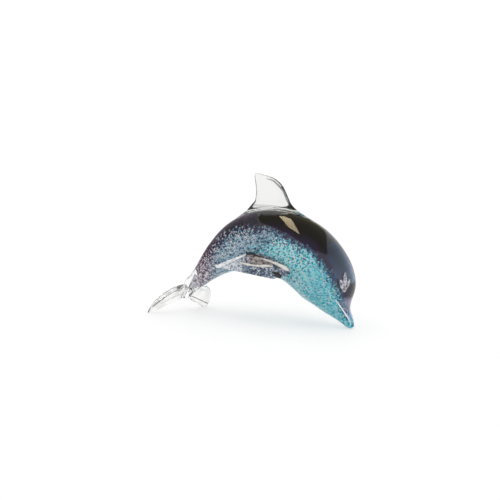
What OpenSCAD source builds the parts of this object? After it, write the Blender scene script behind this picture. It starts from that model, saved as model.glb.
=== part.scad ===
// Leaping dolphin in solid hand-worked glass: a colour core cased in clear glass,
// with clear fins, flukes, flippers and eye bits applied hot on the outside.
// X runs from the tail to the head, Y to the dolphin's left, Z up. The figure
// stands on its beak tip and on the tips of its two flukes, and Z = 0 is that plane.

/* [Body arch] */
// Length along X from the tail joint to the beak tip
arch_span = 168; // [140:1:210]
// Height of the body's centre line at its crown
arch_rise = 78; // [66:1:98]
// Thickest diameter of the body
girth = 66; // [50:1:80]

/* [Glass layers] */
// Wall of the clear casing over the colour
casing_wall = 2.4; // [1.5:0.1:3.5]
// Extra clear glass along the crown, where the dorsal fin is fused on
crown_wall = 11; // [6:0.5:13]
// Depth of the two colour layers at their thickest
colour_depth = 2.2; // [1:0.1:3.5]
// Degrees around the body that the amethyst layer covers behind the head
amethyst_cover = 150; // [110:1:180]
// Length of the clear plug inside the casing at the tail, as a share of the centre line
tail_plug = 0.085; // [0.07:0.005:0.1]
// How much further forward the colour starts on the back than halfway down, as such a share
colour_slant = 0.025; // [0:0.005:0.03]

/* [Dorsal fin] */
// Height of the fin above the crown of the body
fin_height = 34; // [26:1:42]
// Length of the fin along X halfway up
fin_chord = 31.5; // [25:0.5:40]
// Thickness of the fin where it leaves the body
fin_thickness = 11; // [8:0.5:14]
// Distance along X from the crown of the body back to the fin's rear edge
fin_setback = 21.5; // [15:0.5:28]

/* [Flukes] */
// Distance from the middle of the tail to each fluke tip
fluke_reach = 42; // [34:1:52]
// Thickness of a fluke beside the tail
fluke_thickness = 8.5; // [7:0.5:11]
// Turn of the flukes about the upright, in degrees
fluke_turn = 29; // [0:1:40]
// Distance that the fluke tips stand behind the tail joint
fluke_trail = 12; // [6:1:20]

/* [Flippers] */
// Distance that a flipper's tip trails behind the rear end of its root
flipper_sweep = 31; // [24:1:40]
// Drop of a flipper from its root to its free edge
flipper_drop = 14.5; // [10:0.5:22]
// Distance that a flipper's tip stands out beyond its root
flipper_spread = 9; // [5:0.5:14]
// Thickness of a flipper at its root
flipper_thickness = 7; // [6:0.5:10]

/* [Eyes] */
// Length of the longest petal of an eye
eye_length = 19.5; // [14:0.5:24]
// Width of a petal
eye_petal = 3.9; // [3:0.1:5]
// Height of the eye around the head, in degrees above the side line
eye_rise = 33; // [20:1:52]

/* [Hidden] */

// How far the three feet are ground flat
foot_grind = 0.8;
// Rings along the body, and points around it
body_rings = 46;
body_sides = 36;
// Sections along a blade, and points around it
blade_sections = 18;
blade_sides = 28;

// The body along its centre line: X as a share of the span, Z as a share of the rise,
// then the half heights above and below the line and the half width, as shares of half
// the girth. The rows run from the tail joint to the beak tip.
BODY = [
    [0.000, 0.330, 0.240, 0.240, 0.240],
    [0.050, 0.430, 0.280, 0.265, 0.265],
    [0.110, 0.560, 0.430, 0.330, 0.350],
    [0.190, 0.728, 0.625, 0.490, 0.520],
    [0.297, 0.890, 0.855, 0.710, 0.760],
    [0.422, 0.985, 0.995, 0.945, 0.950],
    [0.553, 0.985, 1.015, 1.000, 1.000],
    [0.678, 0.890, 1.010, 1.020, 1.000],
    [0.773, 0.720, 0.965, 0.985, 0.970],
    [0.838, 0.530, 0.890, 0.870, 0.860],
    [0.892, 0.340, 0.665, 0.570, 0.620],
    [0.936, 0.205, 0.270, 0.350, 0.330],
    [0.968, 0.110, 0.180, 0.220, 0.230],
    [0.992, 0.035, 0.115, 0.125, 0.150],
    [1.000, 0.005, 0.055, 0.055, 0.060]];

// The fin's foot, where it flares along the back: height over the back as a share of the
// fin's height, rear and front edge as shares of its chord, thickness as a share.
FIN_FOOT = [
    [0.000, -0.62, 1.95, 1.25],
    [0.018, -0.44, 1.72, 1.10],
    [0.050, -0.24, 1.48, 1.00]];

// The fin from there to its tip: height above the crown as a share of the fin's height,
// rear and front edge as shares of its chord, thickness as a share of the thickness.
FIN = [
    [0.09, -0.09, 1.29, 0.92],
    [0.19, 0.00, 1.18, 0.82],
    [0.34, 0.02, 1.09, 0.72],
    [0.52, 0.01, 0.99, 0.62],
    [0.67, -0.01, 0.89, 0.52],
    [0.80, -0.04, 0.75, 0.42],
    [0.90, -0.06, 0.57, 0.34],
    [0.96, -0.06, 0.33, 0.26],
    [1.00, -0.03, 0.08, 0.14]];

// A fluke from the tail to its tip: outward as a share of the reach, upper and lower
// edge below the tail joint as shares of the drop, thickness as a share of the root's.
FLUKE = [
    [0.00, -0.02, 0.50, 1.00],
    [0.10, -0.07, 0.57, 1.00],
    [0.22, -0.09, 0.64, 0.92],
    [0.40, -0.03, 0.73, 0.82],
    [0.62, 0.09, 0.84, 0.70],
    [0.80, 0.24, 0.94, 0.58],
    [0.92, 0.44, 1.00, 0.48],
    [0.98, 0.64, 1.00, 0.36],
    [1.00, 0.80, 0.97, 0.18]];

// ---------- curves and surfaces ----------

// Value on the smooth curve through four neighbouring rows
function spline4(a, b, c, d, t) =
    0.5 * (2 * b + (c - a) * t + (2 * a - 5 * b + 4 * c - d) * t * t
        + (3 * b - a - 3 * c + d) * t * t * t);

// Row of a table at the share u of its length, on a smooth curve through its rows
function along(table, u) =
    let (last = len(table) - 1, s = min(max(u, 0), 1) * last, i = min(floor(s), last - 1))
    spline4(table[max(i - 1, 0)], table[i], table[i + 1], table[min(i + 2, last)], s - i);

// Faces of a closed skin over rows of rings that all have the same even number of points
function side_faces(rows, n) = [
    for (i = [0:rows - 2], j = [0:n - 1])
        let (k = (j + 1) % n)
        each [[i * n + j, i * n + k, (i + 1) * n + k],
            [i * n + j, (i + 1) * n + k, (i + 1) * n + j]]];

// An end is closed by a strip across its ring, from the ring's first point to its middle
// one, so that an end on a curved surface follows that surface
function end_faces(n) = [
    for (j = [0:n / 2 - 1])
        each [if (j > 0) [j, n - j, n - j - 1],
            if (j < n / 2 - 1) [j, n - j - 1, j + 1]]];

// A row of rings from its other end, which turns a skin's faces the other way
function reversed(rings) = [for (i = [len(rings) - 1:-1:0]) rings[i]];

module skin(rings) {
    n = len(rings[0]);
    start = (len(rings) - 1) * n;
    ends = end_faces(n);
    last = [for (f = ends) [f[2] + start, f[1] + start, f[0] + start]];
    polyhedron([for (r = rings) each r], concat(ends, side_faces(len(rings), n), last));
}

// ---------- the body ----------

function raw_centre(u) = let (b = along(BODY, u)) [arch_span * b[0], 0, arch_rise * b[1]];
function unit(v) = v / norm(v);
function heading(u) = unit(raw_centre(min(u + 0.004, 1)) - raw_centre(max(u - 0.004, 0)));
function dorsal(u) = let (h = heading(u)) [-h.z, 0, h.x];

// Point on the body at share u and angle a, where 0 is its left side and 90 its back,
// set in from the outside by the depth given
function raw_skin(u, a, depth) =
    let (b = along(BODY, u) * girth / 2, up = sin(a) > 0 ? b[2] : b[3])
    raw_centre(u) + dorsal(u) * sin(a) * max(up - depth, 0.3)
    + [0, cos(a) * max(b[4] - depth, 0.3), 0];

// The middle of the figure's length is the middle of its frame
function raw_tail() = raw_centre(0);
body_front = max([for (i = [0:80]) raw_skin(i / 80, 90, 0).x]);
fluke_rear = raw_tail().x - fluke_trail - fluke_reach * sin(fluke_turn);
shift = [-(body_front + fluke_rear) / 2, 0, 0];
function skin_point(u, a, depth) = raw_skin(u, a, depth) + shift;

// Share of the centre line at which the colour starts and ends
colour_start = tail_plug;
colour_end = 0.955;
// The colour's rings lean at the tail, and stand straight again over this share
slant_length = 0.2;
function slant(u) = colour_slant * (u < colour_start ? u / colour_start
    : pow(max(1 - (u - colour_start) / slant_length, 0), 2));

// Shares between which the clear glass along the crown rises and falls
crown_from = 0.1;
crown_to = 0.85;
function crown_share(u) =
    pow(sin(180 * min(max((u - crown_from) / (crown_to - crown_from), 0), 1)), 2);

// Where the body is thin its layers are too: 1 at full depth, down to the thin share
function fullness(u, thin) = thin + (1 - thin) * min(along(BODY, u)[2] * 2, 1);

// Clear wall over the colour, thickest along the crown
function wall(u, a) = casing_wall * fullness(u, 0.55) + crown_wall * crown_share(u) * max(sin(a), 0);

// Half of the angle that the amethyst covers: the whole back, and more of it at the tail
tail_cover = 0.35;
function half_cover(u) = amethyst_cover / 2 * (1 + tail_cover * pow(1 - u, 3));

// Depth of a colour layer across its width, down to nothing at both edges
edge_round = 0.6;
function layer_depth(u, share) = colour_depth * fullness(u, 0.1) * pow(sin(180 * share), edge_round);

function share_at(i, n, from, to) = from + (to - from) * i / n;
function body_ring(u) = [for (j = [0:body_sides - 1]) skin_point(u, 360 * j / body_sides, 0)];
function colour_point(u, j, depth) =
    let (a = layer_angle(u, j), leaned = u + slant(u) * sin(a))
    skin_point(leaned, a, wall(leaned, a) + depth);
function colour_ring(u) = [for (j = [0:body_sides - 1]) colour_point(u, j, 0)];
function core_ring(u) = [for (j = [0:body_sides - 1])
    colour_point(u, j, layer_depth(u, layer_share(j)))];

// Points around the colour are counted from the amethyst's left edge over the back to
// its right edge, and from there under the belly
back_points = body_sides / 2;
function layer_share(j) = (j % back_points) / back_points;
function layer_angle(u, j) = j < back_points
    ? 90 - half_cover(u) + 2 * half_cover(u) * layer_share(j)
    : 90 + half_cover(u) + (360 - 2 * half_cover(u)) * layer_share(j);

// One colour layer: the part of the colour's shell over points first to first + half
function layer_ring(u, first) = concat(
    [for (j = [0:back_points]) colour_ring(u)[(first + j) % body_sides]],
    [for (j = [back_points - 1:-1:1]) core_ring(u)[(first + j) % body_sides]]);

colour_shares = [for (i = [0:body_rings - 4]) share_at(i, body_rings - 4, colour_start, colour_end)];
body_shares = [for (i = [0:body_rings]) 1 - pow(1 - i / body_rings, 1.15)];

module clear_casing() {
    // The outside, then back through the tail's opening along the colour's surface
    outside = [for (i = [len(body_shares) - 1:-1:0]) body_ring(body_shares[i])];
    opening = [for (u = [0, colour_start / 2]) colour_ring(u)];
    inside = [for (u = colour_shares) colour_ring(u)];
    color(clear_glass) floor_ground() skin(concat(outside, opening, inside));
}

module inner_gather() {
    color([0.80, 0.90, 0.92]) skin(reversed([for (u = colour_shares) core_ring(u)]));
}

module turquoise_layer() {
    color([0.25, 0.66, 0.74]) skin(reversed([for (u = colour_shares) layer_ring(u, back_points)]));
}

module amethyst_layer() {
    color([0.24, 0.19, 0.29]) skin(reversed([for (u = colour_shares) layer_ring(u, 0)]));
}

// Everything below the standing plane is ground away
module floor_ground() {
    difference() {
        children();
        translate([-arch_span, -arch_span, -arch_rise]) cube([2 * arch_span, 2 * arch_span, arch_rise]);
    }
}

// Point of an oval section at the turn t
function oval(middle, chord, thick, t) = middle + chord * cos(t) + thick * sin(t);

blade_turns = [for (j = [0:blade_sides - 1]) 360 * j / blade_sides];
blade_shares = [for (i = [0:blade_sections]) i / blade_sections];
clear_glass = [0.93, 0.95, 0.97, 0.35];

// How far a bit that is fused to the body sinks into its surface
fuse = 0.12;

// ---------- the tail and its flukes ----------

tail = raw_tail() + shift;
// Half width of the flattened tongue that carries the flukes on its sides
tongue_half = 5;
fluke_drop = [-fluke_trail, 0, -tail.z - foot_grind];

function fluke_out(side) = side * [sin(fluke_turn), cos(fluke_turn), 0];
function fluke_across(side) = unit(cross(fluke_out(side), fluke_drop));

// Sections of the tongue: share of the drop, half thickness as a share of the flukes',
// and how much wider than the tongue its oval is before its sides are cut flat
TONGUE = [[0.03, 1.62, 1.5], [0.10, 1.52, 1.5], [0.26, 1.34, 1.5], [0.38, 1.10, 1.5],
    [0.44, 0.80, 1.2], [0.46, 0.50, 0.9]];

function tongue_ring(row) = [for (j = [0:body_sides - 1])
    let (a = 360 * j / body_sides, wide = tongue_half * row[2] * cos(a))
    tail + fluke_drop * row[0] + fluke_out(1) * min(max(wide, -tongue_half), tongue_half)
    + fluke_across(1) * fluke_thickness / 2 * row[1] * sin(a)];

module tail_stock() {
    color(clear_glass) skin(concat(
        [for (u = [colour_start, colour_start / 2, 0]) tail_ring(colour_ring(u))],
        [body_ring(0)],
        [for (row = TONGUE) tongue_ring(row)]));
}

// The colour's points start at the amethyst's edge, and the body's at its left side, so
// the ring is turned until its first point lies nearest to the left side
function tail_ring(ring) = [for (j = [0:body_sides - 1]) ring[(j + tail_turn) % body_sides]];
tail_turn = round((half_cover(0) - 90) / (2 * half_cover(0)) * body_sides / 2);

module fluke(side) {
    out = fluke_out(side);
    across = fluke_across(side);
    rings = [for (s = blade_shares)
        let (f = along(FLUKE, s), far = tongue_half + f[0] * (fluke_reach - tongue_half))
        [for (t = blade_turns)
            oval(tail + out * far + fluke_drop * (f[1] + f[2]) / 2,
                fluke_drop * (f[2] - f[1]) / 2, across * fluke_thickness / 2 * f[3], t)]];
    color(clear_glass) floor_ground() skin(reversed(rings));
}

module right_fluke() { fluke(-1); }
module left_fluke() { fluke(1); }

// ---------- the dorsal fin ----------

back_steps = 160;
back_line = [for (i = [0:back_steps]) skin_point(i / back_steps, 90, 0)];
crown_z = max([for (p = back_line) p.z]);
crown_x = [for (p = back_line) if (p.z == crown_z) p.x][0];

// Share of the centre line at which the back passes over the place x
function share_over(x) =
    let (i = [for (k = [1:back_steps - 1]) if (back_line[k].x <= x && back_line[k + 1].x > x) k][0])
    (i + (x - back_line[i].x) / (back_line[i + 1].x - back_line[i].x)) / back_steps;

// Point over the back at the place x and y, at the height given over the surface
function over_back(x, y, height) =
    let (u = share_over(x), half_width = along(BODY, u)[4] * girth / 2)
    skin_point(u, acos(y / half_width), -height);

module dorsal_fin() {
    rear = crown_x - fin_setback;
    half_thick = fin_thickness / 2;
    foot = [for (f = FIN_FOOT)
        [for (t = blade_turns)
            over_back(rear + fin_chord * ((f[1] + f[2]) / 2 + (f[2] - f[1]) / 2 * cos(t)),
                half_thick * f[3] * sin(t), fin_height * f[0] - (f[0] == 0 ? fuse : 0))]];
    upper = [for (s = blade_shares)
        let (f = along(FIN, s))
        [for (t = blade_turns)
            oval([rear + fin_chord * (f[1] + f[2]) / 2, 0, crown_z + fin_height * f[0]],
                [fin_chord * (f[2] - f[1]) / 2, 0, 0], [0, half_thick * f[3], 0], t)]];
    color(clear_glass) skin(reversed(concat(foot, upper)));
}

// ---------- the flippers ----------

// Ends of a flipper's root: share of the centre line, and degrees below the side line
root_front = [0.515, 34];
root_rear = [0.325, 15];
// Degrees around the body that a flipper's root takes for each millimetre across it
root_turn = 360 / (PI * girth);
// How much of the tip's sweep and drop the front of the free edge takes
front_sweep = 0.52;
front_drop = 0.44;

module flipper(side) {
    ends = [for (e = [root_front, root_rear]) [e[0], side < 0 ? 180 + e[1] : -e[1]]];
    at_front = skin_point(ends[0][0], ends[0][1], 0);
    at_rear = skin_point(ends[1][0], ends[1][1], 0);
    front_way = [-flipper_sweep * front_sweep, side * flipper_spread * 0.2, -flipper_drop * front_drop];
    rear_way = [-flipper_sweep, side * flipper_spread, -flipper_drop];
    outward = unit([0, side, 0.4]);
    edge = [for (turn = blade_turns)
        let (t = side * turn, spot = (ends[0] + ends[1]) / 2 + (ends[0] - ends[1]) / 2 * cos(t)
            + [0, side * root_turn * flipper_thickness / 2 * sin(t)])
        skin_point(spot[0], spot[1], fuse)];
    rings = [for (w = blade_shares)
        let (front = at_front + front_way * w, rear = at_rear + rear_way * w,
            thick = flipper_thickness / 2 * (1 - 0.62 * w) * sqrt(1 - pow(w, 6) * 0.96))
        [for (turn = blade_turns)
            oval((front + rear) / 2, (front - rear) / 2, outward * thick, side * turn)]];
    color(clear_glass) skin([for (i = [0:blade_sections])
        let (hold = pow(1 - blade_shares[i], 2))
        [for (j = [0:blade_sides - 1]) rings[i][j] + (edge[j] - rings[0][j]) * hold]]);
}

module right_flipper() { flipper(-1); }
module left_flipper() { flipper(1); }

// ---------- the eyes ----------

// Share of the centre line at an eye's front point, where its petals meet
eye_share = 0.70;
// Each petal: its length as a share of the longest, and its turn towards the back
EYE_PETALS = [[0.72, 6], [1, 25], [0.74, 44]];
// Sections of a petal: distance from the eye's front point as a share of its length, half
// width as a share of the petal's width, and height as a share of the petal's height
PETAL = [[0.12, 0.05, 0.10], [0.20, 0.16, 0.50], [0.40, 0.32, 0.85], [0.62, 0.50, 1.00],
    [0.82, 0.46, 0.80], [0.94, 0.28, 0.50], [1.00, 0.08, 0.10]];
petal_height = 1.5;
petal_sections = 9;
petal_sides = 14;

module petal(side, length, turn) {
    around = side > 0 ? eye_rise : 180 - eye_rise;
    front = skin_point(eye_share, around, 0);
    // Millimetres over the skin for each share of the centre line, and for each degree
    per_share = norm(front - skin_point(eye_share - 0.01, around, 0)) / 0.01;
    per_degree = norm(front - skin_point(eye_share, around + 1, 0));
    skin([for (i = [petal_sections:-1:0])
        let (row = along(PETAL, i / petal_sections))
        [for (j = [0:petal_sides - 1])
            let (t = side * 360 * j / petal_sides, out = length * row[0],
                aside = eye_petal * row[1] * cos(t), height = petal_height * row[2] * max(sin(t), 0))
            skin_point(eye_share - (out * cos(turn) - aside * sin(turn)) / per_share,
                around + side * (out * sin(turn) + aside * cos(turn)) / per_degree,
                (sin(t) < 0 ? fuse : 0) - height)]]);
}

module eye(side) {
    color([0.80, 0.80, 0.84]) for (p = EYE_PETALS) petal(side, eye_length * p[0], p[1]);
}

module right_eye() { eye(-1); }
module left_eye() { eye(1); }

clear_casing();
inner_gather();
turquoise_layer();
amethyst_layer();
tail_stock();
right_fluke();
left_fluke();
dorsal_fin();
right_flipper();
left_flipper();
right_eye();
left_eye();
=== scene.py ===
"""A leaping dolphin in hand-worked art glass, on a pale studio floor."""

import math

import bmesh
import bpy
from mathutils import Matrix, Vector
from mathutils.bvhtree import BVHTree


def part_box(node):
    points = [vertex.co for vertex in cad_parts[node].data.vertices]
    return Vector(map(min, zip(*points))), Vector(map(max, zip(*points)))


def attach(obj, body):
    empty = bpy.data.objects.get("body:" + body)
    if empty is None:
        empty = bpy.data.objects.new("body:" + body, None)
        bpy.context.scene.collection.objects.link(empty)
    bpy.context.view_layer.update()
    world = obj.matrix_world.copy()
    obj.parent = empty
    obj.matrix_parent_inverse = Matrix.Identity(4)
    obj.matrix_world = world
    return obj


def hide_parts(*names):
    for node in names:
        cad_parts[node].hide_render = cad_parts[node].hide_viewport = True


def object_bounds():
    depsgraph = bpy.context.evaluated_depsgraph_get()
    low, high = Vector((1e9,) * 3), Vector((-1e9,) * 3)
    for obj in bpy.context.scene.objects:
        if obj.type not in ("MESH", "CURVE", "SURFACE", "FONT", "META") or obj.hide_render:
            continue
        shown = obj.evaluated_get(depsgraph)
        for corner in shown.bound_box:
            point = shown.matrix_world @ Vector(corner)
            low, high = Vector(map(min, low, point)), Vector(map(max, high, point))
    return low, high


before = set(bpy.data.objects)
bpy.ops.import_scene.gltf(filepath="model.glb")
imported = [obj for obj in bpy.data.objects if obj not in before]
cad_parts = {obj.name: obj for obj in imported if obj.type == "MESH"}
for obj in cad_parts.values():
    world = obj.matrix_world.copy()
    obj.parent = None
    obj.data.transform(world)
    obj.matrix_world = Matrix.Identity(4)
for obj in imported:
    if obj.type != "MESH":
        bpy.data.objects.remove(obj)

cad_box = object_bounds()
low, high = Vector(cad_box[0]), Vector(cad_box[1])
size, middle = high - low, (low + high) / 2
MM = 0.001
UP = Vector((0, 0, 1))
# Each side's name, and its way along Y
SIDES = (("right", -1), ("left", 1))

# ---------- meshes from the frame ----------

# Points of a CAD node that are nearer than this are one point
SAME_POINT = 1e-6
# A face whose middle is nearer than this to another node lies on it
ON_NODE = 0.3 * MM


def node_mesh(node):
    """A CAD node's points and triangles, with doubled points joined."""
    bm = bmesh.new()
    bm.from_mesh(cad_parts[node].data)
    bmesh.ops.remove_doubles(bm, verts=bm.verts, dist=SAME_POINT)
    return bm


def tree_of(node):
    """A search tree over a CAD node's surface."""
    bm = node_mesh(node)
    tree = BVHTree.FromBMesh(bm)
    bm.free()
    return tree


def as_quads(bm):
    """Joins triangles in pairs, so that subdivision follows the rings of the shape."""
    bmesh.ops.join_triangles(bm, faces=bm.faces, angle_face_threshold=math.radians(40),
                             angle_shape_threshold=math.radians(60))


def cut_shared(bm, nodes):
    """Takes away the faces that lie on the other nodes, so that two pieces of clear glass
    melt into one, and a casing keeps only its outside."""
    trees = [tree_of(node) for node in nodes]
    shared = []
    for face in bm.faces:
        spot = face.calc_center_median()
        if any(tree.find_nearest(spot)[3] < ON_NODE for tree in trees):
            shared.append(face)
    bmesh.ops.delete(bm, geom=shared, context="FACES")


def make_piece(name, bm, node, material, levels=2):
    """A Blender piece from a bmesh, smoothed by subdivision, riding on the one body."""
    mesh = bpy.data.meshes.new(name)
    bm.to_mesh(mesh)
    bm.free()
    for face in mesh.polygons:
        face.use_smooth = True
    mesh.materials.append(material)
    piece = bpy.data.objects.new(name, mesh)
    bpy.context.collection.objects.link(piece)
    smooth = piece.modifiers.new("smooth", "SUBSURF")
    smooth.levels = smooth.render_levels = levels
    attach(piece, "root")
    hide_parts(node)
    return piece


# ---------- building a material's nodes ----------

# The colour sockets of a Mix node, which share their names with its other sockets
MIX_FIRST, MIX_SECOND, MIX_RESULT = 6, 7, 2


class Nodes:
    """Short calls for building a material's nodes."""

    def __init__(self, name):
        self.mat = bpy.data.materials.new(name)
        self.mat.use_nodes = True
        self.tree = self.mat.node_tree
        self.shader = self.tree.nodes["Principled BSDF"]

    def put(self, socket, value):
        """Links a socket to a socket, or gives it a number or colour of its own."""
        if isinstance(value, bpy.types.NodeSocket):
            self.tree.links.new(value, socket)
        else:
            socket.default_value = value

    def add(self, kind, values, **settings):
        node = self.tree.nodes.new(kind)
        for key, value in settings.items():
            setattr(node, key, value)
        for key, value in values.items():
            self.put(node.inputs[key], value)
        return node

    def shade(self, **values):
        """Sets the main shader's inputs, with _ for each space in a name."""
        for key, value in values.items():
            self.put(self.shader.inputs[key.replace("_", " ")], value)

    def position(self):
        return self.add("ShaderNodeTexCoord", {}).outputs["Object"]

    def axis(self, letter):
        return self.add("ShaderNodeSeparateXYZ", {"Vector": self.position()}).outputs[letter]

    def noise(self, scale, detail, rough=0.5, vector=None):
        place = vector or self.position()
        return self.add("ShaderNodeTexNoise", {"Scale": scale, "Detail": detail,
                                               "Roughness": rough, "Vector": place}).outputs["Fac"]

    def cells(self, scale):
        """Small cells with a random colour each."""
        return self.add("ShaderNodeTexVoronoi", {"Scale": scale,
                                                 "Vector": self.position()}).outputs["Color"]

    def part(self, colour, channel):
        return self.add("ShaderNodeSeparateColor", {"Color": colour}).outputs[channel]

    def calc(self, operation, a, b, clamp=False):
        node = self.add("ShaderNodeMath", {0: a, 1: b}, operation=operation, use_clamp=clamp)
        return node.outputs[0]

    def smooth(self, value, start, end):
        """0 up to the start and 1 from the end on, which may lie on either side of it."""
        node = self.add("ShaderNodeMapRange", {"Value": value, "From Min": start, "From Max": end},
                        interpolation_type="SMOOTHSTEP")
        return node.outputs["Result"]

    def along(self, start, end):
        """The same between two shares of the figure's length, from the flukes to the beak."""
        return self.smooth(self.axis("X"), low.x + start * size.x, low.x + end * size.x)

    def ramp(self, value, stops):
        node = self.add("ShaderNodeValToRGB", {"Fac": value})
        points = node.color_ramp.elements
        while len(points) < len(stops):
            points.new(0.5)
        for point, (place, colour) in zip(points, stops):
            point.position = place
            point.color = (*colour, 1)
        return node.outputs["Color"]

    def mix(self, factor, first, second):
        """Mixes two colours, each of them a socket or linear red, green and blue."""
        node = self.add("ShaderNodeMix", {"Factor": factor}, data_type="RGBA")
        for place, colour in ((MIX_FIRST, first), (MIX_SECOND, second)):
            self.put(node.inputs[place], (*colour, 1) if isinstance(colour, tuple) else colour)
        return node.outputs[MIX_RESULT]

    def bump(self, height, strength):
        """A surface normal for waves up to 1.5 mm high."""
        node = self.add("ShaderNodeBump", {"Height": height, "Strength": strength,
                                           "Distance": 1.5 * MM})
        return node.outputs["Normal"]


def rgb(*values):
    """A colour from display values of 0 to 255, as a linear one."""
    return tuple(((c / 255 + 0.055) / 1.055) ** 2.4 if c > 10 else c / 255 / 12.92
                 for c in values)


def seen(r, g, b):
    """The colour a layer needs inside clear glass to look like this from outside: the glass
    adds a little reflected light, and sends part of the layer's own light back to it."""
    own = [max(c - 0.04, 0.001) for c in rgb(r, g, b)]
    return tuple(c / (0.40 + 0.6 * c) for c in own)


# ---------- clear and milky glass ----------

GLASS_IOR = 1.5
# The flukes are thin and soft-edged, so they bend light less than solid glass would
FLUKE_IOR = 1.38


def clear_glass(name, tint, waves):
    """Hand-worked clear glass: faint waves in its surface from the tools and the flame."""
    n = Nodes(name)
    n.shade(Base_Color=(*tint, 1), Transmission_Weight=1.0, IOR=GLASS_IOR, Roughness=0.0,
            Normal=n.bump(n.noise(45, 1.5, 0.4), waves))
    return n.mat


def milky_glass(name):
    """Flipper glass, drawn out over the frit: flecks of it inside, pale towards the tip."""
    n = Nodes(name)
    grain = n.part(n.cells(900), "Red")
    root = n.ramp(grain, [
        (0.10, rgb(24, 34, 58)), (0.40, rgb(66, 90, 122)), (0.66, rgb(130, 152, 176)),
        (0.90, rgb(246, 248, 252))])
    tip = n.ramp(grain, [
        (0.06, rgb(120, 134, 160)), (0.24, rgb(226, 230, 242)), (0.40, rgb(255, 255, 255))])
    n.shade(Base_Color=n.mix(n.along(0.49, 0.40), root, tip), Transmission_Weight=0.52,
            IOR=GLASS_IOR, Roughness=0.02)
    return n.mat


def streaked_glass(name):
    """Fluke glass: drawn out and tooled, with faint cream streaks and a wavy surface."""
    n = Nodes(name)
    drawn = n.add("ShaderNodeVectorMath", {0: n.position(), 1: (0.6, 1.0, 0.6)},
                  operation="MULTIPLY").outputs[0]
    streaks = n.ramp(n.noise(90, 2, vector=drawn), [
        (0.36, rgb(232, 231, 228)), (0.60, rgb(252, 252, 250))])
    n.shade(Base_Color=streaks, Transmission_Weight=0.92, IOR=FLUKE_IOR, Roughness=0.0,
            Normal=n.bump(n.noise(60, 1), 0.5))
    return n.mat


def silver_glass(name):
    """Eye petals: clear glass with a silvery veil under it."""
    n = Nodes(name)
    veil = n.ramp(n.noise(420, 3, 0.6), [(0.38, rgb(96, 92, 104)), (0.62, rgb(232, 230, 238))])
    n.shade(Base_Color=veil, Transmission_Weight=0.35, IOR=GLASS_IOR, Roughness=0.08)
    return n.mat


def trail_glass(name, dark, light, clearness):
    """Glass of a thin trail, streaked between two colours. Most trails use it to paint highlights,
    dark reflections and dark lines on the clear glass.
    """
    n = Nodes(name)
    streaks = n.ramp(n.noise(380, 3, 0.6), [(0.35, dark), (0.62, light)])
    n.shade(Base_Color=streaks, Transmission_Weight=clearness, IOR=GLASS_IOR, Roughness=0.06)
    return n.mat


# ---------- the colour under the casing ----------


def grain_tone(n, grain):
    """How light each fleck is: its own chance, finer dust in it, and clumps of flecks."""
    dust = n.part(n.cells(1900), "Red")
    tone = n.calc("ADD", n.calc("MULTIPLY", n.part(grain, "Red"), 0.84),
                  n.calc("MULTIPLY", dust, 0.16))
    return n.calc("ADD", tone, n.calc("SUBTRACT", n.noise(400, 2), 0.5))


def turquoise_frit(n, tone):
    """Turquoise with paler clouds, a deeper chest, and a few gold flecks."""
    frit = n.ramp(tone, [
        (0.06, seen(0, 56, 90)), (0.22, seen(14, 142, 174)), (0.44, seen(88, 218, 232)),
        (0.66, seen(162, 238, 244)), (0.84, seen(212, 246, 250)), (0.95, seen(250, 242, 255))])
    cloud = n.calc("MULTIPLY", n.smooth(n.noise(26, 2), 0.5, 0.75), 0.3)
    frit = n.mix(cloud, frit, seen(205, 216, 222))
    chest = n.calc("MULTIPLY", n.along(0.74, 0.83), 0.32)
    frit = n.mix(chest, frit, seen(30, 176, 200))
    gold = n.smooth(n.part(n.cells(760), "Green"), 0.965, 0.975)
    return n.mix(gold, frit, seen(206, 212, 150))


def dusky_frit(n, tone, forward, tail):
    """Flecks that show through thin amethyst: blue-grey, darker on the head, wine-coloured
    at the tail."""
    rear = n.ramp(tone, [
        (0.12, seen(34, 44, 76)), (0.30, seen(70, 116, 150)), (0.48, seen(128, 176, 196)),
        (0.68, seen(180, 198, 214)), (0.84, seen(232, 230, 240)), (0.95, seen(255, 252, 255))])
    head = n.ramp(tone, [
        (0.0, seen(40, 40, 66)), (0.5, seen(52, 86, 114)), (1.0, seen(110, 160, 180))])
    wine = n.ramp(tone, [
        (0.12, seen(50, 24, 44)), (0.34, seen(104, 66, 90)), (0.54, seen(150, 136, 156)),
        (0.70, seen(222, 210, 220)), (0.86, seen(254, 248, 252))])
    return n.mix(tail, n.mix(forward, rear, head), wine)


def amethyst(n, depth, tail):
    """Nearly black over the back, violet near the border, burgundy at the tail, and pale
    lavender on top of the beak."""
    border = n.smooth(depth, -0.022, -0.008)
    glass = n.mix(border, (0.010, 0.008, 0.012), (0.030, 0.019, 0.056))
    glass = n.mix(tail, glass, seen(66, 42, 58))
    beak = n.calc("MULTIPLY", n.smooth(n.axis("Z"), 0.034, 0.027),
                  n.smooth(n.axis("X"), 0.07, 0.08))
    return n.mix(beak, glass, seen(140, 134, 154))


def eased(n, forward, rear, change):
    """A number with its own value on the rear body, and less by the change on the head."""
    return n.calc("SUBTRACT", rear, n.calc("MULTIPLY", forward, change))


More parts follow.
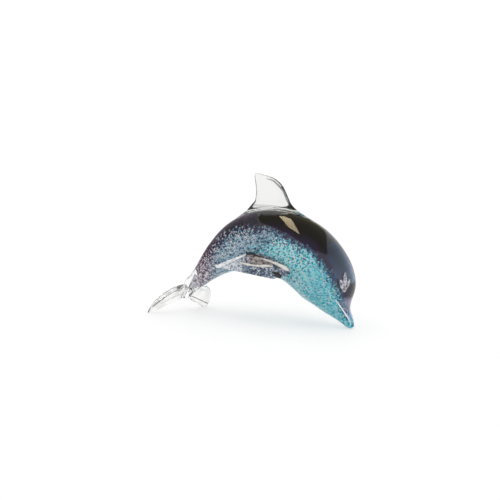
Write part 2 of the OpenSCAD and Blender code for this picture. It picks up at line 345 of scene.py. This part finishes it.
def colour_glass(name):
    """Amethyst over turquoise frit. The border attribute is the distance in metres from the
    line where the two layers meet: positive in the turquoise, negative in the amethyst."""
    n = Nodes(name)
    forward = n.along(0.40, 0.68)
    tail = n.along(0.34, 0.22)
    border = n.add("ShaderNodeAttribute", {}, attribute_name="border").outputs["Fac"]
    drift = n.calc("MULTIPLY", n.calc("SUBTRACT", n.noise(60, 3), 0.5), 0.014)
    depth = n.calc("ADD", border, drift)
    grain = n.cells(960)
    tone = grain_tone(n, grain)

    # the turquoise takes over at once on the head, and slowly over the rear body
    start = eased(n, forward, 0.004, 0.010)
    reach = eased(n, forward, 0.030, 0.022)
    share = n.calc("DIVIDE", n.calc("SUBTRACT", depth, start), reach, clamp=True)
    is_turquoise = n.calc("LESS_THAN", n.part(grain, "Blue"), share)
    flecks = n.mix(is_turquoise, dusky_frit(n, tone, forward, tail), turquoise_frit(n, tone))

    # flecks thin out into the amethyst above the border
    edge = eased(n, forward, -0.023, -0.013)
    width = eased(n, forward, 0.021, 0.014)
    density = n.calc("DIVIDE", n.calc("SUBTRACT", depth, edge), width, clamp=True)
    is_fleck = n.calc("LESS_THAN", n.part(grain, "Green"), density)
    n.shade(Base_Color=n.mix(is_fleck, amethyst(n, depth, tail), flecks), Roughness=0.6,
            IOR=GLASS_IOR, Specular_IOR_Level=0)
    return n.mat


# ---------- the glass of the figure ----------


def add_clear(name, node, material, against=()):
    """A clear piece with the shape of its CAD node, open where it meets the nodes against it."""
    bm = node_mesh(node)
    cut_shared(bm, against)
    as_quads(bm)
    make_piece(name, bm, node, material)


def add_colour(name, node, sign, other, material):
    """A layer under the casing, with its distance from the other layer on each point."""
    bm = node_mesh(node)
    as_quads(bm)
    bmesh.ops.subdivide_edges(bm, edges=bm.edges, cuts=1, use_grid_fill=True)
    mesh = make_piece(name, bm, node, material, levels=1).data
    border = mesh.attributes.new("border", "FLOAT", "POINT")
    for vertex, value in zip(mesh.vertices, border.data):
        value.value = sign * other.find_nearest(vertex.co)[3]


def add_clear_pieces():
    clear = clear_glass("clear_glass", (0.985, 0.99, 0.995), 0.008)
    blade = clear_glass("blade_glass", (0.86, 0.865, 0.84), 0.3)
    fluke, flipper = streaked_glass("fluke_glass"), milky_glass("milky_glass")
    eye = silver_glass("eye_glass")
    inside = ["turquoise_layer", "amethyst_layer", "inner_gather"]
    add_clear("casing", "clear_casing", clear, inside + ["tail_stock"])
    add_clear("tail_joint", "tail_stock", clear, ["clear_casing", "inner_gather"])
    add_clear("dorsal_fin_glass", "dorsal_fin", blade)
    for word, _ in SIDES:
        add_clear(word + "_fluke_glass", word + "_fluke", fluke)
    for word, _ in SIDES:
        add_clear(word + "_flipper_glass", word + "_flipper", flipper)
    for word, _ in SIDES:
        add_clear(word + "_eye_petals", word + "_eye", eye)


def add_colour_pieces():
    colour = colour_glass("colour_glass")
    turquoise, purple = tree_of("turquoise_layer"), tree_of("amethyst_layer")
    add_colour("turquoise_frit", "turquoise_layer", 1, purple, colour)
    add_colour("amethyst_overlay", "amethyst_layer", -1, turquoise, colour)
    add_colour("core", "inner_gather", 1, purple, colour)


add_clear_pieces()
add_colour_pieces()

# ---------- trails of glass, mostly painted highlights, reflections and shade ---

ROD_SIDES = 8
# The thinnest that a trail gets, in millimetres
THINNEST = 0.05


def tube(points, radii):
    """A rod of round sections through the points."""
    bm = bmesh.new()
    turns = [math.tau * k / ROD_SIDES for k in range(ROD_SIDES)]
    rings = []
    last = len(points) - 1
    for i, (point, radius) in enumerate(zip(points, radii)):
        forward = (points[min(i + 1, last)] - points[max(i - 1, 0)]).normalized()
        side = forward.cross(UP).normalized()
        over = side.cross(forward)
        rings.append([bm.verts.new(point + (side * math.cos(t) + over * math.sin(t)) * radius)
                      for t in turns])
    for a, b in zip(rings, rings[1:]):
        for k in range(ROD_SIDES):
            after = (k + 1) % ROD_SIDES
            bm.faces.new((a[k], a[after], b[after], b[k]))
    bm.faces.new(rings[0][::-1])
    bm.faces.new(rings[-1])
    bmesh.ops.recalc_face_normals(bm, faces=bm.faces)
    return bm


def smooth_row(rows, steps):
    """Points on a smooth curve through the rows, with equal steps between them."""
    last = len(rows) - 1
    found = []
    for k in range(last * steps + 1):
        i = min(k // steps, last - 1)
        t = k / steps - i
        a, b, c, d = (Vector(rows[max(0, min(last, i + j))]) for j in (-1, 0, 1, 2))
        found.append(0.5 * (2 * b + (c - a) * t + (2 * a - 5 * b + 4 * c - d) * t * t
                            + (3 * b - a - 3 * c + d) * t * t * t))
    return found


def trail(name, node, rows, material, side, sunk=0.3):
    """A painted mark on one side of a node: a thin rod of glass whose colour paints light and
    shade, as highlights, dark reflections and dark lines. Each row: its place along X and Z as
    shares of the node's box, and the trail's radius in millimetres. Sunk is how deep it
    lies, as a share of its radius: at 0 it rests on the surface, at 1 it is half in."""
    box_low, box_high = (Vector(p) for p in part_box(node))
    span = box_high - box_low
    tree = tree_of(node)
    outward = Vector((0, side, 0))
    points, radii = [], []
    for across, up, radius in smooth_row(rows, 8):
        spot = Vector((box_low.x + across * span.x, 0, box_low.z + up * span.z))
        hit = tree.ray_cast(spot + outward * 0.2, -outward)[0]
        if hit is None:
            hit = tree.find_nearest(spot + outward * 0.03)[0]
        radius = max(radius, THINNEST) * MM
        points.append(hit + outward * radius * (1 - sunk))
        radii.append(radius)
    make_piece(name, tube(points, radii), node, material, levels=1)


# The white, cream and bright trails are painted highlights, the smoke and brown trails are painted
# dark reflections, and the line trail paints dark lines where the clear glass shows dark; only the
# veil trail is the glass's own colour.
painted_white_highlight = trail_glass("painted_white_highlight", rgb(206, 206, 216), rgb(255, 255, 255), 0.15)
painted_cream_highlight = trail_glass("painted_cream_highlight", rgb(216, 208, 196), rgb(255, 252, 244), 0.3)
painted_dark_reflection = trail_glass("painted_dark_reflection", rgb(12, 12, 16), rgb(44, 42, 44), 0.3)
painted_brown_reflection = trail_glass("painted_brown_reflection", rgb(40, 34, 40), rgb(206, 194, 192), 0.4)
painted_dark_line = trail_glass("painted_dark_line", rgb(44, 44, 42), rgb(112, 112, 106), 0.5)
veil_trail = trail_glass("veil_trail", rgb(142, 136, 148), rgb(236, 232, 240), 0.75)
painted_bright_highlight = trail_glass("painted_bright_highlight", rgb(236, 238, 244), rgb(255, 255, 255), 0.0)


def fluke_trails():
    """Painted light and shade on the near faces of the flukes: dark lines along a ridge and the
    lip where the glass shows dark, a white highlight streak, and a bright highlight band.
    """
    ridge = [(0.15, 0.23, 0.15), (0.22, 0.31, 0.4), (0.32, 0.41, 0.5), (0.46, 0.56, 0.4),
             (0.62, 0.71, 0.3), (0.78, 0.82, 0.15)]
    streak = [(0.36, 0.33, 0.3), (0.60, 0.50, 0.55), (0.82, 0.65, 0.65), (0.95, 0.71, 0.3)]
    band = [(0.52, 0.78, 0.4), (0.62, 0.77, 1.2), (0.74, 0.73, 1.3), (0.84, 0.67, 0.5)]
    lip = [(0.77, 0.20, 0.15), (0.82, 0.14, 0.45), (0.86, 0.09, 0.4)]
    trail("right_fluke_ridge", "right_fluke", ridge, painted_dark_line, -1, sunk=0.8)
    trail("right_fluke_streak", "right_fluke", streak, painted_white_highlight, -1, sunk=0.9)
    trail("left_fluke_band", "left_fluke", band, painted_bright_highlight, -1, sunk=1.3)
    trail("left_fluke_lip", "left_fluke", lip, painted_dark_line, -1, sunk=0.8)


def flipper_trails(flipper, side):
    """Painted reflections on the flipper glass: a white highlight along the rear edge, a dark
    reflection along the crest, a cream highlight along the front edge and another across the
    middle, brown-black reflections in the middle, and a dark wedge of painted shade near the lower
    front.
    """
    edge = [(0.02, 0.27, 1.0), (0.04, 0.32, 1.9), (0.11, 0.43, 1.9), (0.20, 0.58, 1.7),
            (0.30, 0.73, 1.4), (0.40, 0.90, 0.8)]
    crest = [(0.39, 0.90, 0.4), (0.45, 0.96, 1.2), (0.54, 0.91, 1.2), (0.62, 0.85, 0.8),
             (0.70, 0.79, 0.3)]
    shine = [(0.52, 0.87, 0.3), (0.65, 0.79, 0.8), (0.77, 0.69, 1.2), (0.87, 0.59, 1.9),
             (0.94, 0.50, 2.3), (0.985, 0.40, 1.0)]
    fold_highlight = [(0.33, 0.56, 0.4), (0.42, 0.53, 1.2), (0.52, 0.50, 0.9), (0.62, 0.51, 1.5),
            (0.70, 0.53, 1.1), (0.78, 0.50, 0.4)]
    brown_reflection_patch = [(0.42, 0.86, 0.8), (0.48, 0.82, 2.4), (0.56, 0.76, 3.0), (0.66, 0.68, 2.0),
             (0.74, 0.61, 0.8)]
    heart = [(0.42, 0.68, 0.6), (0.48, 0.66, 2.2), (0.56, 0.64, 2.2), (0.64, 0.61, 1.3),
             (0.70, 0.59, 0.5)]
    shade = [(0.76, 0.28, 0.5), (0.81, 0.24, 2.0), (0.85, 0.17, 2.7), (0.88, 0.08, 1.8),
             (0.89, 0.02, 0.6)]
    trail(flipper + "_edge", flipper, edge, painted_white_highlight, side)
    trail(flipper + "_crest", flipper, crest, painted_dark_reflection, side)
    trail(flipper + "_shine", flipper, shine, painted_cream_highlight, side)
    trail(flipper + "_fold", flipper, fold_highlight, painted_cream_highlight, side, sunk=0.5)
    trail(flipper + "_smoke", flipper, brown_reflection_patch, painted_brown_reflection, side, sunk=1.2)
    trail(flipper + "_heart", flipper, heart, painted_brown_reflection, side, sunk=1.2)
    trail(flipper + "_shade", flipper, shade, painted_dark_reflection, side, sunk=0.9)


def fin_trails(word, side):
    """Painted dark lines in the clear fin, where the glass shows dark: one along the ridge inside
    its front edge, and one along the seam at its foot.
    """
    ridge = [(0.37, 0.90, 0.1), (0.45, 0.87, 0.25), (0.52, 0.78, 0.3), (0.59, 0.67, 0.45),
             (0.64, 0.51, 0.5), (0.69, 0.37, 0.45), (0.71, 0.29, 0.3)]
    seam = [(0.19, 0.33, 0.1), (0.28, 0.32, 0.2), (0.45, 0.33, 0.2), (0.62, 0.30, 0.2),
            (0.74, 0.26, 0.2)]
    trail("fin_ridge_" + word, "dorsal_fin", ridge, painted_dark_line, side, sunk=0.8)
    trail("fin_seam_" + word, "dorsal_fin", seam, painted_dark_line, side, sunk=0.8)


def tail_veil():
    """Smoke drawn out of the colour's end into the clear tail. Each row: the share of the
    way from the colour's end to the middle of the tail, and of the end's width."""
    rows = [(-0.05, 0.96), (0.15, 0.82), (0.4, 0.62), (0.7, 0.44), (1.0, 0.28), (1.25, 0.10)]
    bm = node_mesh("tail_stock")
    gather = tree_of("inner_gather")
    ends = [v.co.copy() for v in bm.verts if gather.find_nearest(v.co)[3] < 0.05 * MM]
    bm.free()
    start = sum(ends, Vector()) / len(ends)
    wide = sum((p - start).length for p in ends) / len(ends)
    joint = sum((Vector(p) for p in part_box("tail_stock")), Vector()) / 2
    fall = Vector((0.3, 0, -1)).normalized() * wide * 0.55
    line = [start + (joint - start) * share + fall * (1 - width) for share, width in rows]
    radii = [wide * width for _, width in rows]
    make_piece("tail_veil", tube(line, radii), "tail_stock", veil_trail)


def mouth_line(word, side):
    """A painted highlight: a line of bright white glass along the mouth crease on one side of the
    beak. Each row is a point near the casing, in millimetres from the beak's front end at floor
    level."""
    rows = [(-17.8, side * 21.3, 30.3), (-13.8, side * 16.3, 24.0), (-10.4, side * 10.4, 17.8),
            (-6.2, side * 7.4, 11.5), (-2.7, side * 5.1, 5.5)]
    casing = tree_of("clear_casing")
    line = []
    for point in smooth_row(rows, 6):
        spot, normal, _, _ = casing.find_nearest(Vector((high.x, 0, 0)) + point * MM)
        line.append(spot + normal * 0.1 * MM)
    last = len(line) - 1
    radii = [(0.25 + 0.4 * math.sin(math.pi * i / last)) * MM for i in range(len(line))]
    make_piece(word + "_mouth_line", tube(line, radii), "clear_casing",
               painted_bright_highlight, levels=1)


fluke_trails()
for word, side in SIDES:
    flipper_trails(word + "_flipper", side)
    fin_trails(word, side)
tail_veil()
for word, side in SIDES:
    mouth_line(word, side)

# ---------- studio ----------

# Degrees: the camera's way round towards the head, its height, and its roll
CAMERA_AZIMUTH, CAMERA_ELEVATION, CAMERA_ROLL = 12, 7, 4
# Metres: the camera's distance, and the width of the view there
CAMERA_DISTANCE, VIEW_WIDTH = 1.2, 0.5
# Metres: how far out, back and up the side cards reach
WALL_OUT, WALL_BACK, WALL_TOP = 1.3, 2.6, 1.4
# Metres: heights of the dark ceiling and of the window under it
CEILING, WINDOW = 0.90, 0.89
# Degrees to each side of straight behind the figure, and metres wide and high
FLAG_TURN, FLAG_WIDTH, FLAG_HEIGHT = 42, 0.35, 1.6


def heading(azimuth, elevation):
    """Unit vector out of the object: azimuth 0 is towards -Y, and positive towards +X."""
    a, e = math.radians(azimuth), math.radians(elevation)
    return Vector((math.sin(a) * math.cos(e), -math.cos(a) * math.cos(e), math.sin(e)))


def glow(name, colour, strength):
    """The glow of an even card."""
    n = Nodes(name)
    n.shade(Base_Color=(0, 0, 0, 1), Emission_Color=(*colour, 1), Emission_Strength=strength)
    return n.mat


def fading_glow(name, colour, top, foot):
    """The glow of a card that is brighter at its foot than near its top."""
    n = Nodes(name)
    strength = n.add("ShaderNodeMapRange", {
        "Value": n.axis("Z"), "From Min": 0.2, "From Max": 1.1, "To Min": foot, "To Max": top})
    n.shade(Base_Color=(0, 0, 0, 1), Emission_Color=(*colour, 1),
            Emission_Strength=strength.outputs["Result"])
    return n.mat


def card(name, corners, material, through=False):
    """A flat studio card between its corners. It shows only in reflections, or only
    through glass."""
    mesh = bpy.data.meshes.new(name)
    mesh.from_pydata(corners, [], [range(len(corners))])
    mesh.materials.append(material)
    thing = bpy.data.objects.new(name, mesh)
    bpy.context.collection.objects.link(thing)
    thing.visible_camera = False
    thing.visible_diffuse = False
    thing.visible_shadow = False
    thing.visible_glossy = not through
    thing.visible_transmission = through


def overhead(plan, height):
    """Corners of a level card over its plan."""
    return [(x, y, height) for x, y in plan]


def wall(x, front):
    """Corners of an upright card beside the figure."""
    return [(x, front, 0), (x, WALL_BACK, 0), (x, WALL_BACK, WALL_TOP), (x, front, WALL_TOP)]


def reflected_cards():
    """A dark ceiling with a window in it, and coloured cards at the sides."""
    ceiling = [(-0.41, 0.22), (-0.36, -0.22), (0.10, -0.84), (0.56, -1.28), (1.09, -0.52),
               (0.81, 0.04), (0.66, 0.61), (0.47, 1.64), (-0.1, 2.0)]
    window = [(-0.08, 0.34), (0.06, 0.31), (0.27, -0.50), (0.06, -0.26)]
    slope = [(-WALL_OUT, -0.7, WALL_TOP), (-WALL_OUT, WALL_BACK, WALL_TOP), (-0.45, 2.0, 0.95),
             (-0.45, -0.25, 0.95)]
    card("dark_ceiling", overhead(ceiling, CEILING),
         glow("ceiling_shade", rgb(150, 146, 104), 0.8))
    card("ceiling_window", overhead(window, WINDOW),
         glow("window_light", rgb(236, 218, 176), 9))
    card("right_sheet", wall(WALL_OUT, -0.9),
         fading_glow("blue_shade", (0.60, 0.77, 1.0), 1.5, 2.9))
    card("left_sheet", wall(-WALL_OUT, -0.7), glow("plum_shade", (0.95, 0.8, 1.0), 0.55))
    card("left_slope", slope, glow("slope_shade", (0.95, 0.85, 1.05), 0.65))


def flag(name, azimuth, material):
    """A dark upright card behind the figure, seen only through the clear glass."""
    centre = middle + heading(azimuth, 0) * CAMERA_DISTANCE
    across = heading(azimuth + 90, 0) * FLAG_WIDTH / 2
    up = UP * FLAG_HEIGHT / 2
    corners = [centre - across - up, centre + across - up,
               centre + across + up, centre - across + up]
    card(name, corners, material, through=True)


def flags():
    """Two dark cards that darken the edges of the clear glass."""
    n = Nodes("black_card")
    n.shade(Base_Color=(0.01, 0.01, 0.01, 1), Roughness=0.6)
    behind = CAMERA_AZIMUTH + 180
    flag("left_flag", behind + FLAG_TURN, n.mat)
    flag("right_flag", behind - FLAG_TURN, n.mat)


def pale_floor():
    """A wide floor that glows a little, so that it fades into the white behind it."""
    bm = bmesh.new()
    bmesh.ops.create_grid(bm, x_segments=1, y_segments=1, size=4)
    mesh = bpy.data.meshes.new("floor")
    bm.to_mesh(mesh)
    bm.free()
    n = Nodes("floor")
    n.shade(Base_Color=(0.55, 0.55, 0.55, 1), Roughness=0.7,
            Emission_Color=(1, 1, 1, 1), Emission_Strength=0.44)
    mesh.materials.append(n.mat)
    floor = bpy.data.objects.new("floor", mesh)
    bpy.context.collection.objects.link(floor)


def white_world():
    """Soft white light from all round."""
    world = bpy.data.worlds.new("studio")
    bpy.context.scene.world = world
    world.use_nodes = True
    background = world.node_tree.nodes["Background"]
    background.inputs["Color"].default_value = (1, 1, 1, 1)
    background.inputs["Strength"].default_value = 1.05


def add_camera():
    """A camera that looks a little left of and below the figure's middle."""
    toward = heading(CAMERA_AZIMUTH, CAMERA_ELEVATION)
    turn = toward.to_track_quat("Z", "Y")
    right, up = turn @ Vector((1, 0, 0)), turn @ Vector((0, 1, 0))
    aim = middle - right * 0.045 * size.x - up * 0.03 * size.z
    camera = bpy.data.objects.new("camera", bpy.data.cameras.new("camera"))
    bpy.context.collection.objects.link(camera)
    camera.location = aim + toward * CAMERA_DISTANCE
    camera.rotation_euler = turn.to_euler()
    camera.rotation_euler.rotate_axis("Z", math.radians(CAMERA_ROLL))
    camera.data.lens = camera.data.sensor_width * CAMERA_DISTANCE / VIEW_WIDTH
    bpy.context.scene.camera = camera


pale_floor()
white_world()
reflected_cards()
flags()
add_camera()
bpy.context.scene.view_settings.view_transform = "Standard"
